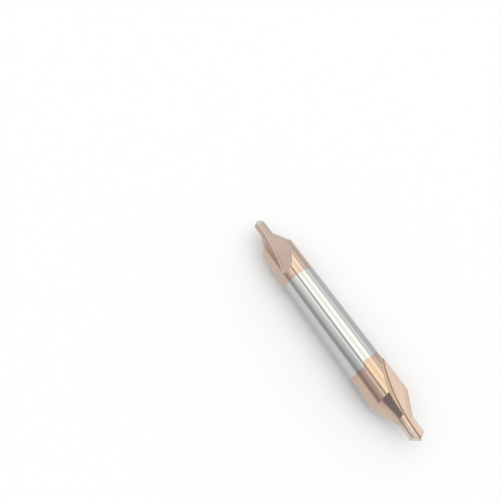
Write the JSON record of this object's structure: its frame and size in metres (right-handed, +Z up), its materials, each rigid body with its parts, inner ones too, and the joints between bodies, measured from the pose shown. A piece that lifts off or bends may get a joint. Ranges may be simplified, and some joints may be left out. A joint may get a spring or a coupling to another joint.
{
  "type": "centre drill",
  "caption": "Double-ended carbide centre drill: a short pilot drill and a conical countersink at each end of a round shank, bronze-coated at the ends.",
  "frame": {"origin": "middle of the drill, on its axis", "axes": "+X along the axis towards one of the two tips, which are alike; +Z up, with the drill lying level"},
  "size_m": [0.045, 0.0063, 0.0062],
  "materials": {
    "coated_carbide": "ground tungsten carbide, bare and bright on the shank, with a satin rose-bronze coating on both ends"
  },
  "bodies": {
    "root": {"centre_drill": "coated_carbide"}
  },
  "joints": []
}
